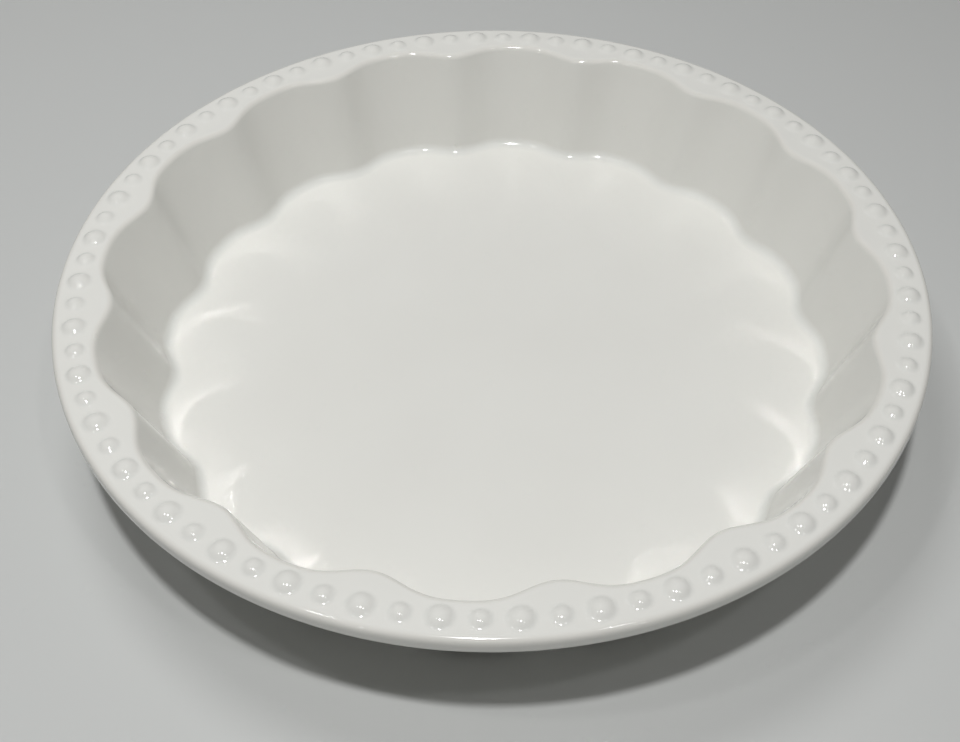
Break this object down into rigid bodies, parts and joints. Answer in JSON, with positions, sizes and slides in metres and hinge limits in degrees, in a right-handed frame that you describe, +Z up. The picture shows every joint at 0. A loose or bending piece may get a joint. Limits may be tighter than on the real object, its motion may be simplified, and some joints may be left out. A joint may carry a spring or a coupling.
{
  "type": "fluted baking dish",
  "caption": "Open round stoneware baking dish with a flat floor, a flaring fluted wall and a broad flat rim set with large and small beads in turn, glazed all over but for its bare foot ring.",
  "frame": {"origin": "middle of the foot ring, on the surface that the dish stands on", "axes": "+Z up along the axis of the dish; +X through a large bead on a crest of the fluted wall"},
  "size_m": [0.28, 0.28, 0.0468],
  "materials": {
    "bare_stoneware": "matte fired clay, off-white, seen only on the foot ring",
    "white_glaze": "clear gloss over warm white, a few pinholes"
  },
  "bodies": {
    "root": {"stoneware_body": "bare_stoneware", "dish_glaze": "white_glaze", "base_glaze": "white_glaze"}
  },
  "joints": []
}
